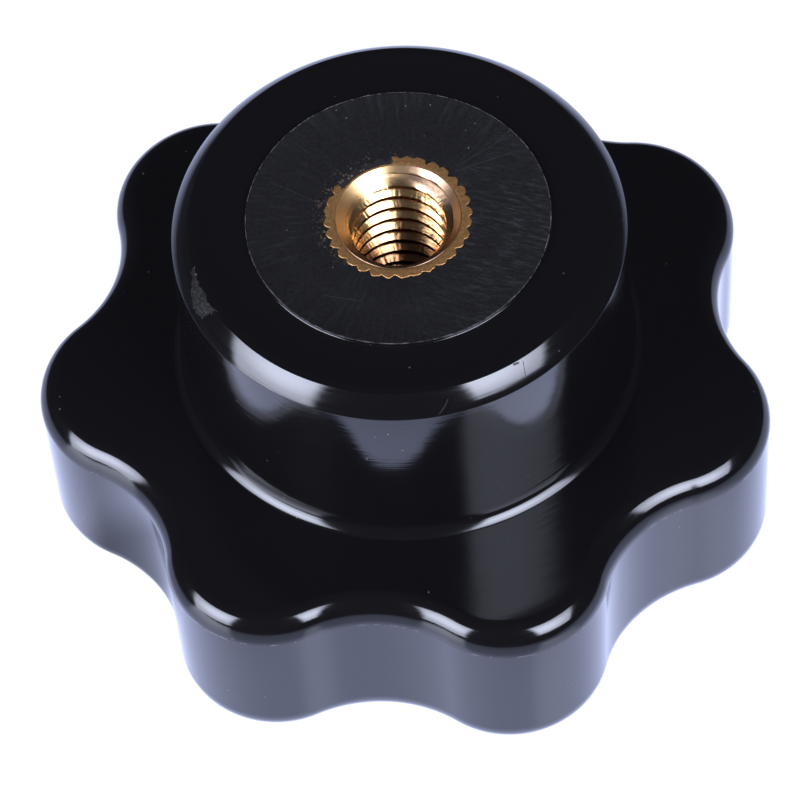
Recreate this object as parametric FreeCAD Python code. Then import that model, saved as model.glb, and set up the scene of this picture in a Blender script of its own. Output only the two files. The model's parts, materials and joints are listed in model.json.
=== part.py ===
"""Star knob for an M6 stud: a lobed phenolic grip with a round hub, moulded round a brass insert.

Millimetres, +Z up.  The origin is the centre of the grip's flat outer face, on the knob's axis.
The knob rests on that face, with the hub and the threaded mouth of the insert on top.
"""
import FreeCAD, Part
import math
import os

# Lobed grip, with its walls drafted inwards below the parting line
grip_diameter = 40.0
valley_depth = 3.1
lobe_count = 7
lobe_radius = 5.56
lobe_bearing = -73.3
grip_thickness = 11.2
top_edge_radius = 1.5
bottom_edge_radius = 2.0
parting_land = 0.1
wall_draft = 2.0

# Hub, and the cove at its foot, which meets the grip's top face at a slight angle
hub_diameter = 24.0
hub_draft = 0.3
hub_face_height = 22.85
hub_root_depth = 3.0
cove_radius = 0.9
cove_edge_angle = 23.0

# Crowned rim round the hub's face, and the machined disc on it
rim_width = 0.92
rim_drop = 1.07
rim_crown = 0.06
disc_diameter = 16.1
disc_rise = 0.2
disc_edge_slope = 0.08

# Knurled insert
insert_diameter = 7.8
insert_length = 15.0
insert_lead = 0.5
knurl_count = 32
knurl_depth = 0.3
groove_width = 1.6
groove_depth = 0.6
groove_below_face = 6.7

# Tapped hole: the bore is at the tapping size of an M6 thread
bore_diameter = 5.0
bore_depth = 12.5
drill_point_angle = 118.0
countersink_diameter = 6.6
countersink_angle = 90.0

# Heights that follow from the sizes above
parting_height = grip_thickness - top_edge_radius - parting_land
face_height = hub_face_height + disc_rise
rim_height = hub_face_height - rim_drop

AXIS = FreeCAD.Vector(0, 0, 1)
ORIGIN = FreeCAD.Vector(0, 0, 0)
PLANE_TOLERANCE = 1e-4


def polar(radius, angle, height=0.0):
    """A point at a radius and an angle in radians round the knob's axis."""
    return FreeCAD.Vector(radius * math.cos(angle), radius * math.sin(angle), height)


def profile_point(radius, height):
    """A point of a profile that is revolved round the knob's axis."""
    return FreeCAD.Vector(radius, 0, height)


def lobed_wire(inset, height):
    """The grip's outline: tangent lobe and valley arcs, moved inwards by an inset."""
    half_pitch = math.pi / lobe_count
    valley_inner = grip_diameter / 2 - valley_depth
    lobe_centre = grip_diameter / 2 - lobe_radius
    reach = lobe_centre * math.cos(half_pitch)
    # The valley's arc is tangent to both lobes' arcs and reaches the depth of the valley
    valley_radius = (
        (lobe_radius**2 - lobe_centre**2 - valley_inner**2 + 2 * reach * valley_inner)
        / (2 * (valley_inner - reach - lobe_radius))
    )
    valley_centre = valley_inner + valley_radius

    edges = []
    for index in range(lobe_count):
        bearing = math.radians(lobe_bearing) + 2 * half_pitch * index
        lobe = polar(lobe_centre, bearing, height)
        before = polar(valley_centre, bearing - half_pitch, height)
        after = polar(valley_centre, bearing + half_pitch, height)
        following = polar(lobe_centre, bearing + 2 * half_pitch, height)
        lobe_start = towards(lobe, before, lobe_radius - inset)
        lobe_end = towards(lobe, after, lobe_radius - inset)
        tip = polar(grip_diameter / 2 - inset, bearing, height)
        valley_end = towards(after, following, valley_radius + inset)
        floor = polar(valley_inner - inset, bearing + half_pitch, height)
        edges.append(Part.Arc(lobe_start, tip, lobe_end).toShape())
        edges.append(Part.Arc(lobe_end, floor, valley_end).toShape())
    return Part.Wire(edges)


def towards(start, target, distance):
    """The point at a distance from start on the way to target."""
    return start + (target - start).normalize() * distance


def edges_at(shape, height):
    """The edges of a shape that lie in the plane at a height."""
    found = []
    for edge in shape.Edges:
        box = edge.BoundBox
        if max(abs(box.ZMin - height), abs(box.ZMax - height)) < PLANE_TOLERANCE:
            found.append(edge)
    return found


def lobed_grip():
    """The grip in its two mould halves, which meet at the parting line."""
    inset = parting_height * math.tan(math.radians(wall_draft))
    lower = Part.makeLoft([lobed_wire(inset, 0), lobed_wire(0, parting_height)], True, True)
    lower = lower.makeFillet(bottom_edge_radius, edges_at(lower, 0))
    rise = grip_thickness - parting_height
    upper = Part.Face(lobed_wire(0, parting_height)).extrude(AXIS * rise)
    upper = upper.makeFillet(top_edge_radius, edges_at(upper, grip_thickness))
    return lower.fuse(upper)


def revolved(edges):
    """A solid from the edges of a closed profile in the XZ plane."""
    return Part.Face(Part.Wire(edges)).revolve(ORIGIN, AXIS, 360)


def polyline(points):
    """Straight edges through the points, in their order."""
    edges = []
    for start, end in zip(points, points[1:]):
        edges.append(Part.LineSegment(start, end).toShape())
    return edges


def cove_arc():
    """The concave arc from the grip's top face up to the hub's wall."""
    end_angle = math.radians(90 - cove_edge_angle)
    cove_height = cove_radius * math.sin(end_angle)
    wall_height = rim_height - grip_thickness - cove_height
    base_radius = hub_diameter / 2 + wall_height * math.tan(math.radians(hub_draft))
    centre = profile_point(base_radius + cove_radius, grip_thickness + cove_height)
    foot = centre + profile_point(-math.cos(end_angle), -math.sin(end_angle)) * cove_radius
    middle = centre + profile_point(-math.cos(end_angle / 2), -math.sin(end_angle / 2)) * cove_radius
    head = centre + profile_point(-1, 0) * cove_radius
    return foot, middle, head


def hub():
    """The round hub: cove, drafted wall, crowned rim, flat face and raised disc.

    Its root goes down inside the grip, so that the two are one moulding.
    """
    foot, cove_middle, wall_foot = cove_arc()
    root_height = grip_thickness - hub_root_depth
    rim_outer = profile_point(hub_diameter / 2, rim_height)
    rim_inner = profile_point(hub_diameter / 2 - rim_width, hub_face_height)
    across = (rim_inner - rim_outer).normalize()
    outwards = FreeCAD.Vector(across.z, 0, -across.x)
    rim_middle = (rim_outer + rim_inner) * 0.5 + outwards * rim_crown
    disc_foot = profile_point(disc_diameter / 2 + disc_edge_slope, hub_face_height)
    disc_edge = profile_point(disc_diameter / 2, face_height)

    edges = polyline([profile_point(0, root_height), profile_point(foot.x, root_height), foot])
    edges.append(Part.Arc(foot, cove_middle, wall_foot).toShape())
    edges += polyline([wall_foot, rim_outer])
    edges.append(Part.Arc(rim_outer, rim_middle, rim_inner).toShape())
    edges += polyline([
        rim_inner, disc_foot, disc_edge, profile_point(0, face_height), profile_point(0, root_height),
    ])
    return revolved(edges)


def insert_blank():
    """The outer shape of the insert: straight knurls, an anchoring groove and a lead at the inner end."""
    radius = insert_diameter / 2
    foot_height = face_height - insert_length
    groove_top = face_height - groove_below_face
    groove_foot = groove_top - groove_width

    corners = []
    for index in range(2 * knurl_count):
        corner_radius = radius - knurl_depth * (index % 2)
        corners.append(polar(corner_radius, math.pi * index / knurl_count, foot_height))
    knurled = Part.Face(Part.makePolygon(corners + corners[:1])).extrude(AXIS * insert_length)

    turned = revolved(polyline([
        profile_point(0, foot_height),
        profile_point(radius - insert_lead, foot_height),
        profile_point(radius, foot_height + insert_lead),
        profile_point(radius, groove_foot),
        profile_point(radius - groove_depth, groove_foot),
        profile_point(radius - groove_depth, groove_top),
        profile_point(radius, groove_top),
        profile_point(radius, face_height),
        profile_point(0, face_height),
        profile_point(0, foot_height),
    ]))
    return knurled.common(turned)


def tapped_hole():
    """The blind hole: countersunk mouth, bore at the tapping size and the drill's point."""
    bore_radius = bore_diameter / 2
    mouth_radius = countersink_diameter / 2
    countersink_depth = (mouth_radius - bore_radius) / math.tan(math.radians(countersink_angle / 2))
    point_length = bore_radius / math.tan(math.radians(drill_point_angle / 2))
    bore_foot = face_height - bore_depth
    return revolved(polyline([
        profile_point(0, face_height),
        profile_point(mouth_radius, face_height),
        profile_point(bore_radius, face_height - countersink_depth),
        profile_point(bore_radius, bore_foot),
        profile_point(0, bore_foot - point_length),
        profile_point(0, face_height),
    ]))


def knob_body():
    """The moulded phenolic piece, with the pocket that the insert leaves in it."""
    solid = lobed_grip().fuse(hub()).removeSplitter()
    return solid.cut(insert_blank())


def threaded_insert():
    """The turned brass insert, which the phenolic is moulded round without clearance."""
    return insert_blank().cut(tapped_hole())


def main():
    """Write one file for each piece."""
    os.makedirs("parts", exist_ok=True)
    pieces = {
        "knob_body": knob_body(),
        "threaded_insert": threaded_insert(),
    }
    for name, shape in pieces.items():
        solid = shape.Solids[0]
        solid.exportStep(f"parts/{name}.step")
        box = solid.BoundBox
        print(name, len(shape.Solids), "solid", "valid" if solid.isValid() else "not valid")
        print("  volume %.1f mm3, X %.2f Y %.2f Z %.2f" % (solid.Volume, box.XLength, box.YLength, box.ZLength))


main()
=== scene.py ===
"""The looks of a star knob: a glossy black phenolic moulding round a knurled and tapped brass insert."""
import json
import math

import bpy
from bpy.props import FloatProperty, FloatVectorProperty, IntProperty, PointerProperty
from mathutils import Matrix, Vector


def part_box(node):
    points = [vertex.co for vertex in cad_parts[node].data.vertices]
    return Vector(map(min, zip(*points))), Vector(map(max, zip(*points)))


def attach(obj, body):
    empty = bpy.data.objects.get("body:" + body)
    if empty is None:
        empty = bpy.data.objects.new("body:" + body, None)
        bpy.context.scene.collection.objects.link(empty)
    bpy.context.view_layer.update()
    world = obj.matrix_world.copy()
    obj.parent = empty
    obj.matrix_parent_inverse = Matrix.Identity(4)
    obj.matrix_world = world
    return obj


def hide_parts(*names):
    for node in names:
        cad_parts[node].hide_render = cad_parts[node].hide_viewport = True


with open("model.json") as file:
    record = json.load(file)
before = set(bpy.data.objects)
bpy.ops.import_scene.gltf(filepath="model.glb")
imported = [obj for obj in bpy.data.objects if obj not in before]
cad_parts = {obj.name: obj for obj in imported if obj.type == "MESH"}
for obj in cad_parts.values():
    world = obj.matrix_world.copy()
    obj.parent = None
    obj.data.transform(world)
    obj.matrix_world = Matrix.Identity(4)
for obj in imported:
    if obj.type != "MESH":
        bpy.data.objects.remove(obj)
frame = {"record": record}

bl_info = {
    "name": "Star knob",
    "version": (1, 0, 0),
    "blender": (4, 5, 0),
    "location": "View3D > Sidebar > Star knob",
    "description": "Builds a lobed clamping knob with its threaded insert, and a white studio for it",
    "category": "Object",
}

MM = 0.001
BODY_NODE = "knob_body"
INSERT_NODE = "threaded_insert"
INSERT_LOW, INSERT_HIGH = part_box(INSERT_NODE)
FACE_HEIGHT = INSERT_HIGH.z
THREAD_MOUNT = next(mount for mount in frame["record"]["mounts"] if mount["name"] == "thread")
BORE_RADIUS = THREAD_MOUNT["dims"]["r_mm"] * MM
BORE_FOOT = THREAD_MOUNT["pos_m"][2] - THREAD_MOUNT["dims"]["length_mm"] * MM / 2
# The faced surface lies this much under the lip on the disc's edge
FACE_LOSS = 0.02 * MM
FACED = FACE_HEIGHT - FACE_LOSS


def length(name, description, default):
    """A size in metres."""
    return FloatProperty(name=name, description=description, default=default, precision=5, unit="LENGTH")


def angle(name, description, degrees):
    """An angle, given in degrees and kept in radians."""
    return FloatProperty(name=name, description=description, default=math.radians(degrees), subtype="ANGLE")


def colour(name, description, code):
    """A colour, given as an sRGB hex code and kept in linear values."""
    return FloatVectorProperty(
        name=name, description=description, default=linear(code), subtype="COLOR", size=4,
    )


def linear(code):
    """The linear colour of an sRGB hex code."""
    shares = [int(code[start:start + 2], 16) / 255 for start in (0, 2, 4)]
    values = [share / 12.92 if share <= 0.04045 else ((share + 0.055) / 1.055) ** 2.4 for share in shares]
    return (*values, 1.0)


class StarKnobSizes(bpy.types.PropertyGroup):
    """The sizes of the moulding and of the insert."""

    lobes: IntProperty(name="Lobes", description="Number of lobes on the grip", default=7, min=3)
    lobe_bearing: angle("Lobe bearing", "Direction of one lobe from +X", -73.3)
    grip_diameter: length("Grip diameter", "Across the lobes' outer circle", 0.040)
    valley_depth: length("Valley depth", "From the outer circle to a valley's floor", 0.0031)
    lobe_radius: length("Lobe radius", "Radius of a lobe's arc", 0.00556)
    grip_thickness: length("Grip thickness", "Height of the grip's top face", 0.0112)
    top_edge_radius: length("Top edge radius", "Rounding of the grip's top edge, at the top face", 0.0012)
    bottom_edge_radius: length("Bottom edge radius", "Rounding of the grip's bottom edge", 0.002)
    parting_drop: length("Parting drop", "From the top face to the parting line", 0.0016)
    edge_turn: angle("Edge turn", "Slope at which the top rounding opens out into its lower arc", 53.0)
    wall_draft: angle("Wall draft", "Slope of the wall below the parting line", 2.0)
    hub_diameter: length("Hub diameter", "Across the hub at the rim's outer edge", 0.024)
    hub_draft: angle("Hub draft", "Slope of the hub's wall", 0.3)
    cove_radius: length("Cove radius", "Concave arc at the hub's foot", 0.0009)
    cove_edge_angle: angle("Cove edge angle", "Between the cove's end and the grip's top face", 23.0)
    rim_width: length("Rim width", "Of the crowned rim round the hub's face", 0.00092)
    rim_drop: length("Rim drop", "Height of the crowned rim", 0.00107)
    rim_crown: length("Rim crown", "How far the rim bulges", 0.00006)
    disc_diameter: length("Disc diameter", "Across the machined disc", 0.0161)
    disc_rise: length("Disc rise", "Height of the machined disc over the hub's face", 0.0002)
    disc_foot_radius: length("Disc foot radius", "Concave arc at the disc's foot", 0.00007)
    knurl_teeth: IntProperty(name="Knurl teeth", description="Teeth of the straight knurl", default=32, min=8)
    knurl_depth: length("Knurl depth", "Height of a tooth", 0.0003)
    groove_width: length("Groove width", "Width of the anchoring groove", 0.0016)
    groove_depth: length("Groove depth", "Depth of the groove under the teeth's tips", 0.0006)
    groove_below_face: length("Groove below face", "From the insert's face to the groove", 0.0067)
    countersink_diameter: length("Countersink diameter", "Across the mouth of the tapped hole", 0.0066)
    thread_pitch: length("Thread pitch", "Pitch of the M6 thread", 0.001)
    thread_diameter: length("Thread diameter", "Major diameter of the M6 thread", 0.006)
    flash_height: length("Flash height", "Of the ragged flash along the parting line", 0.000045)
    tooth_burr: length("Tooth burr", "How unevenly the knurl is torn at the face", 0.00035)
    thread_burr: length("Thread burr", "How ragged the thread's crests are", 0.00003)
    drill_point: angle("Drill point", "Angle of the cone at the foot of the bore", 118.0)


class StarKnobFinish(bpy.types.PropertyGroup):
    """The colours of the phenolic and of the brass."""

    phenolic: colour("Phenolic", "Black filled resin", "131317")
    machined: colour("Machined phenolic", "The resin where the disc was faced", "1b1b1f")
    scored: colour("Scored phenolic", "The cutter's marks and the scratches in the resin", "5c6069")
    # The dust colour also paints the highlight along the disc's lip
    dust: colour("Dust", "Pale specks on the resin", "b4b6be")
    smear: colour("Smear", "Resin that the facing cut dragged over the brass", "1c1918")
    brass_face: colour("Faced brass", "The insert's end face", "bb8d59")
    # Painted shade: the thread darkens further down the bore
    brass_painted_shade: colour("Brass in the hole", "The thread further down, dark with oil", "8e6446")
    # Painted shade: the cone's colour away from its bright side
    brass_cone_shade: colour("Brass of the mouth", "The mouth's cone where the cutter left it dull", "8b725a")
    crumbs: colour("Crumbs", "Torn resin and brass dust round the insert", "8a7968")
    brass_thread: colour("Tapped brass", "The thread and the countersink", "eec284")


class StarKnobStage(bpy.types.PropertyGroup):
    """The camera, the floor and the lamps."""

    view_elevation: angle("View elevation", "Height of the camera over the floor", 56.056)
    view_roll: angle("View roll", "Turn of the picture", -4.803)
    view_distance: length("View distance", "From the camera to the knob's middle", 0.43582)
    view_height: length("View height", "Point on the axis that the camera's distance is taken from", 0.008)
    view_angle: angle("View angle", "Of the whole picture", 5.6745)
    aim: FloatVectorProperty(
        name="Aim", description="Point that the picture is centred on", default=(-0.00070, -0.00103, 0.00731),
        subtype="TRANSLATION", size=3,
    )
    floor_size: length("Floor size", "Side of the square floor", 3.0)
    card: colour("Card", "The white table as the knob reflects it", "cdd6ff")
    box_light: colour("Box light", "Light of the soft boxes in the gloss", "e2e8ff")


def add(tree, kind, inputs=None, **settings):
    """Adds a node, makes its settings and fills or links its inputs; a kind with no prefix is a shader's."""
    made = tree.nodes.new(kind if "Node" in kind else "ShaderNode" + kind)
    for name, value in settings.items():
        setattr(made, name, value)
    for key, value in (inputs or {}).items():
        socket = made.inputs[key]
        if isinstance(value, bpy.types.Node):
            tree.links.new(value.outputs[0], socket)
        elif isinstance(value, bpy.types.NodeSocket):
            tree.links.new(value, socket)
        else:
            socket.default_value = value
    return made


# Sections

# The most that a rounding turns between two points, and how far its support points lie from it
ARC_STEP = math.radians(11)
SUPPORT = 0.12 * MM
MARKS = ("lobed", "knurled", "burred", "threaded", "flashed", "lipped", "machined")


def spot(radius, height, rounding=0.0, **marks):
    """A corner of a section: its place in the XZ plane, its rounding and what the surface is there."""
    return Vector((radius, 0, height)), rounding, marks


def arc_between(start, end, bulge, count):
    """Spots of a shallow arc whose middle lies a bulge to the right of the way from start to end."""
    middle = (start + end) / 2
    half_chord = (end - start).length / 2
    along = (end - start).normalized()
    side = Vector((along.z, 0, -along.x))
    radius = (half_chord ** 2 + bulge ** 2) / (2 * abs(bulge))
    centre = middle + side * (bulge - math.copysign(radius, bulge))
    opening = 2 * math.asin(half_chord / radius)
    first = start - centre
    turn_axis = Vector((0, math.copysign(1, -bulge), 0))
    spots = []
    for step in range(1, count):
        turned = Matrix.Rotation(opening * step / count, 3, turn_axis) @ first
        place = centre + turned
        spots.append(spot(place.x, place.z))
    return spots


def section_points(corners):
    """The section's points, with arcs at its rounded corners and a support point beside each arc."""
    points = []
    for index, (corner, rounding, marks) in enumerate(corners):
        if not rounding:
            points.append((corner, marks))
            continue
        to_before = (corners[index - 1][0] - corner).normalized()
        to_after = (corners[index + 1][0] - corner).normalized()
        opening = to_before.angle(to_after)
        setback = rounding / math.tan(opening / 2)
        centre = corner + (to_before + to_after).normalized() * rounding / math.sin(opening / 2)
        start = corner + to_before * setback
        end = corner + to_after * setback
        turn = math.pi - opening
        turn_axis = (start - centre).cross(end - centre).normalized()
        count = max(3, math.ceil(turn / ARC_STEP))
        points.append((start + to_before * min(SUPPORT, rounding), marks))
        for step in range(count + 1):
            turned = Matrix.Rotation(turn * step / count, 3, turn_axis) @ (start - centre)
            points.append((centre + turned, marks))
        points.append((corner + to_after * (setback + min(SUPPORT, rounding)), marks))
    return points


def section_mesh(name, corners):
    """A section as a line of vertices, with its marks as attributes."""
    points = section_points(corners)
    mesh = bpy.data.meshes.new(name)
    mesh.from_pydata([place for place, _ in points], [(i, i + 1) for i in range(len(points) - 1)], [])
    for mark in MARKS:
        attribute = mesh.attributes.new(mark, "FLOAT", "POINT")
        attribute.data.foreach_set("value", [marks.get(mark, 0.0) for _, marks in points])
    return mesh


def outline_arcs(sizes):
    """Where lobes' and valleys' arcs are centred, the valleys' radius, and the way from a lobe's centre to
    a valley's, on which the two arcs meet."""
    half_pitch = math.pi / sizes.lobes
    floor = sizes.grip_diameter / 2 - sizes.valley_depth
    lobe_centre = sizes.grip_diameter / 2 - sizes.lobe_radius
    reach = lobe_centre * math.cos(half_pitch)
    upper = sizes.lobe_radius ** 2 - lobe_centre ** 2 - floor ** 2 + 2 * reach * floor
    valley_radius = upper / (2 * (floor - reach - sizes.lobe_radius))
    valley_centre = floor + valley_radius
    valley = Vector((math.cos(half_pitch), math.sin(half_pitch))) * valley_centre
    return lobe_centre, valley_centre, valley_radius, (valley - Vector((lobe_centre, 0))).normalized()


# Swept pieces

# Kinds of the tree's inputs that aren't floats
INPUT_KINDS = {
    "Section": "Geometry", "Columns": "Int", "Seed": "Int", "Skin": "Material", "Machined Face": "Material",
}
# Edges that bend more than this stay crisp, and points nearer than this are welded
CREASE = math.radians(32)
WELD = 0.001 * MM
# For the ragged edges, and the noise above which a tooth is burred outwards
SEED = 3
BURR_LEVEL = 0.45


def swept_tree(names):
    """Turns a section round the Z axis, with lobes, knurls, flash and thread where the section is marked."""
    tree = bpy.data.node_groups.new("turned_section", "GeometryNodeTree")
    for name in ("Section", *names):
        kind = "NodeSocket" + INPUT_KINDS.get(name, "Float")
        tree.interface.new_socket(name, in_out="INPUT", socket_type=kind)
    tree.interface.new_socket("Piece", in_out="OUTPUT", socket_type="NodeSocketGeometry")
    given = add(tree, "NodeGroupInput").outputs
    section = given["Section"]
    rows = add(tree, "GeometryNodeAttributeDomainSize", {"Geometry": section}, component="MESH")

    # Values that the steps read by name; each step is an operation and what it works on
    known = {socket.name: socket for socket in given}
    known.update(index=add(tree, "GeometryNodeInputIndex"), rows=rows.outputs["Point Count"])
    worked_out(tree, known, (
        ("columns", "ADD", "Columns", 1.0),
        ("row", "MODULO", "index", "rows"),
        ("quotient", "DIVIDE", "index", "rows"),
        ("column", "FLOOR", "quotient"),
        ("share", "DIVIDE", "column", "Columns"),
        ("angle", "MULTIPLY", "share", math.tau),
        ("around", "COSINE", "angle"),
        ("aside", "SINE", "angle"),
    ))
    grid = add(tree, "GeometryNodeMeshGrid", {"Vertices X": known["columns"], "Vertices Y": known["rows"]})
    place = add(tree, "GeometryNodeSampleIndex", {
        "Geometry": section, "Value": add(tree, "GeometryNodeInputPosition"), "Index": known["row"],
    }, data_type="FLOAT_VECTOR")
    place = add(tree, "SeparateXYZ", {0: place})
    known.update(radius=place.outputs["X"], height=place.outputs["Z"])
    for mark in MARKS:
        named = add(tree, "GeometryNodeInputNamedAttribute", {"Name": mark}, data_type="FLOAT")
        known[mark] = add(tree, "GeometryNodeSampleIndex", {
            "Geometry": section, "Value": named.outputs[0], "Index": known["row"],
        }, data_type="FLOAT")
    ragged_edges(tree, known)

    worked_out(tree, known, (
        ("half_pitch", "DIVIDE", math.pi, "Lobes"),
        ("from_lobe", "SUBTRACT", "angle", "Bearing"),
        ("lobe_turn", "PINGPONG", "from_lobe", "half_pitch"),
        ("valley_turn", "SUBTRACT", "half_pitch", "lobe_turn"),
        ("inset", "SUBTRACT", "Grip Radius", "radius"),
        ("lobe_arc", "SUBTRACT", "Lobe Radius", "inset"),
        ("valley_arc", "ADD", "Valley Radius", "inset"),
    ))
    for part in ("lobe", "valley"):
        centre = part.capitalize() + " Centre"
        worked_out(tree, known, (
            (part + "_sin", "SINE", part + "_turn"),
            (part + "_cos", "COSINE", part + "_turn"),
            (part + "_side", "MULTIPLY", centre, part + "_sin"),
            (part + "_side_squared", "MULTIPLY", part + "_side", part + "_side"),
            (part + "_arc_squared", "MULTIPLY", part + "_arc", part + "_arc"),
            (part + "_rest", "SUBTRACT", part + "_arc_squared", part + "_side_squared"),
            (part + "_root", "SQRT", part + "_rest"),
            (part + "_ahead", "MULTIPLY", centre, part + "_cos"),
        ))
    worked_out(tree, known, (
        ("on_lobe", "ADD", "lobe_ahead", "lobe_root"),
        ("on_valley", "SUBTRACT", "valley_ahead", "valley_root"),
        ("meet_x", "MULTIPLY_ADD", "lobe_arc", "Meeting X", "Lobe Centre"),
        ("meet_y", "MULTIPLY", "lobe_arc", "Meeting Y"),
        ("meet_turn", "ARCTAN2", "meet_y", "meet_x"),
        ("before_meet", "LESS_THAN", "lobe_turn", "meet_turn"),
        *moved("outline", "on_valley", "on_lobe", "before_meet"),
        *moved("turned_radius", "radius", "outline", "lobed"),
        # Ragged flash along the parting line
        ("flash", "MULTIPLY", "flash_noise", "Flash Height"),
        ("flashed_radius", "MULTIPLY_ADD", "flash", "flashed", "turned_radius"),
        # Broken lip that the facing cut left on the disc's edge
        ("lip", "MULTIPLY", "lip_kept", "Lip Height"),
        ("lipped_height", "MULTIPLY_ADD", "lip", "lipped", "height"),
        # Straight knurl: rounded teeth, some filled and some burred at the face
        ("flanks", "MULTIPLY", "Knurl Teeth", 2.0),
        ("flanks_turned", "MULTIPLY", "share", "flanks"),
        ("tooth_wave", "PINGPONG", "flanks_turned", 1.0),
        ("tooth_fall", "MULTIPLY", "tooth_wave", "tooth_wave"),
        ("tooth_tip", "SUBTRACT", 1.0, "tooth_fall"),
        ("knurl_root", "SUBTRACT", "flashed_radius", "Knurl Depth"),
        ("knurl", "MULTIPLY_ADD", "tooth_tip", "Knurl Depth", "knurl_root"),
        ("filled", "MULTIPLY", "fill_kept", "burred"),
        ("left_open", "SUBTRACT", "knurled", "filled"),
        *moved("knurl_radius", "flashed_radius", "knurl", "left_open"),
        ("tooth_over", "SUBTRACT", "tooth_noise", BURR_LEVEL),
        ("tooth_burr", "MULTIPLY", "tooth_over", "Tooth Burr"),
        ("knurled_radius", "MULTIPLY_ADD", "tooth_burr", "burred", "knurl_radius"),
        # Thread: the rows climb one pitch a turn, so that crests and roots follow the mesh
        ("climb", "MULTIPLY", "share", "Thread Pitch"),
        ("climbed", "ADD", "height", "climb"),
        ("not_above", "MINIMUM", "climbed", "Mouth Height"),
        ("in_bore", "MAXIMUM", "not_above", "Thread Foot"),
        *moved("final_height", "lipped_height", "in_bore", "threaded"),
        ("down_helix", "SUBTRACT", "in_bore", "climb"),
        ("turns_down", "DIVIDE", "down_helix", "Thread Pitch"),
        ("half_turns", "MULTIPLY", "turns_down", 2.0),
        ("thread_wave", "PINGPONG", "half_turns", 1.0),
    ))
    # Flats at the crests and the roots: a quarter and an eighth of the pitch
    known["cut"] = add(tree, "MapRange", {"Value": known["thread_wave"], "From Min": 0.25, "From Max": 0.875})
    worked_out(tree, known, (
        ("thread_depth", "SUBTRACT", "Thread Major", "Thread Minor"),
        ("cut_radius", "MULTIPLY_ADD", "cut", "thread_depth", "Thread Minor"),
        ("crest", "SUBTRACT", 1.0, "cut"),
        ("burr", "MULTIPLY", "burr_kept", "Thread Burr"),
        ("burr_part", "MULTIPLY", "burr", "crest"),
        ("thread_radius", "SUBTRACT", "cut_radius", "burr_part"),
        ("below_mouth", "SUBTRACT", "Mouth Height", "in_bore"),
        ("cone_radius", "SUBTRACT", "Mouth Radius", "below_mouth"),
        ("wall_radius", "MAXIMUM", "thread_radius", "cone_radius"),
        *moved("final_radius", "knurled_radius", "wall_radius", "threaded"),
        ("x", "MULTIPLY", "around", "final_radius"),
        ("y", "MULTIPLY", "aside", "final_radius"),
    ))
    position = add(tree, "CombineXYZ", {"X": known["x"], "Y": known["y"], "Z": known["final_height"]})
    kept = add(tree, "GeometryNodeStoreNamedAttribute", {
        "Geometry": grid, "Name": "machined", "Value": known["machined"],
    }, data_type="FLOAT", domain="POINT")
    swept = add(tree, "GeometryNodeSetPosition", {"Geometry": kept, "Position": position})
    closed = add(tree, "GeometryNodeMergeByDistance", {"Geometry": swept, "Distance": WELD})

    smooth = add(tree, "GeometryNodeSetShadeSmooth", {"Geometry": closed}, domain="FACE")
    bend = add(tree, "GeometryNodeInputMeshEdgeAngle").outputs[0]
    crisp = add(tree, "FunctionNodeCompare", {"A": bend, "B": CREASE}, operation="GREATER_THAN")
    creased = add(tree, "GeometryNodeSetShadeSmooth", {
        "Geometry": smooth, "Selection": crisp, "Shade Smooth": False,
    }, domain="EDGE")
    real = add(tree, "GeometryNodeRealizeInstances", {"Geometry": creased})
    skinned = add(tree, "GeometryNodeSetMaterial", {"Geometry": real, "Material": given["Skin"]})
    faced = add(tree, "GeometryNodeInputNamedAttribute", {"Name": "machined"}, data_type="FLOAT").outputs[0]
    is_faced = add(tree, "FunctionNodeCompare", {"A": faced, "B": 0.99}, operation="GREATER_THAN")
    done = add(tree, "GeometryNodeSetMaterial", {
        "Geometry": skinned, "Selection": is_faced, "Material": given["Machined Face"],
    })
    add(tree, "NodeGroupOutput", {"Piece": done})
    return tree


def worked_out(tree, known, steps):
    """Adds a math node for each step, and keeps its value under the step's name."""
    for name, operation, *operands in steps:
        inputs = {}
        for slot, operand in enumerate(operands):
            inputs[slot] = known[operand] if isinstance(operand, str) else operand
        known[name] = add(tree, "Math", inputs, operation=operation).outputs[0]


def moved(name, start, target, mask):
    """Steps that move a value to its target where a mask says so."""
    return (
        (name + "_way", "SUBTRACT", target, start),
        (name, "MULTIPLY_ADD", name + "_way", mask, start),
    )


def ragged_edges(tree, known):
    """Adds what the mould's parting, the facing cut and the tap left ragged, as values from 0 to about 1."""
    ring = add(tree, "CombineXYZ", {"X": known["around"], "Y": known["aside"]})
    known["flash_noise"] = add(tree, "TexNoise", {
        "Vector": ring, "Scale": 55.0, "Detail": 3.0, "Roughness": 0.7,
    })
    for name, scale, detail, roughness in (
        ("tooth_noise", 9.0, 4.0, 0.65), ("fill_noise", 4.0, 3.0, 0.7), ("lip_noise", 38.0, 4.0, 0.8),
    ):
        known[name] = add(tree, "TexNoise", {
            "Vector": ring, "Scale": scale, "Detail": detail, "Roughness": roughness, "W": known["Seed"],
        }, noise_dimensions="4D")
    worked_out(tree, known, [("down", "MULTIPLY", "height", 1 / MM)])
    tube = add(tree, "CombineXYZ", {"X": known["around"], "Y": known["aside"], "Z": known["down"]})
    known["burr_noise"] = add(tree, "TexNoise", {
        "Vector": tube, "Scale": 11.0, "Detail": 2.0, "Roughness": 0.6,
    })
    for name, low, high, least, most in (
        ("fill", 0.4, 0.62, -0.1, 0.85), ("lip", 0.42, 0.6, 0.0, 1.0), ("burr", 0.5, 0.75, 0.0, 1.0),
    ):
        known[name + "_kept"] = add(tree, "MapRange", {
            "Value": known[name + "_noise"], "From Min": low, "From Max": high,
            "To Min": least, "To Max": most,
        })


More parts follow.
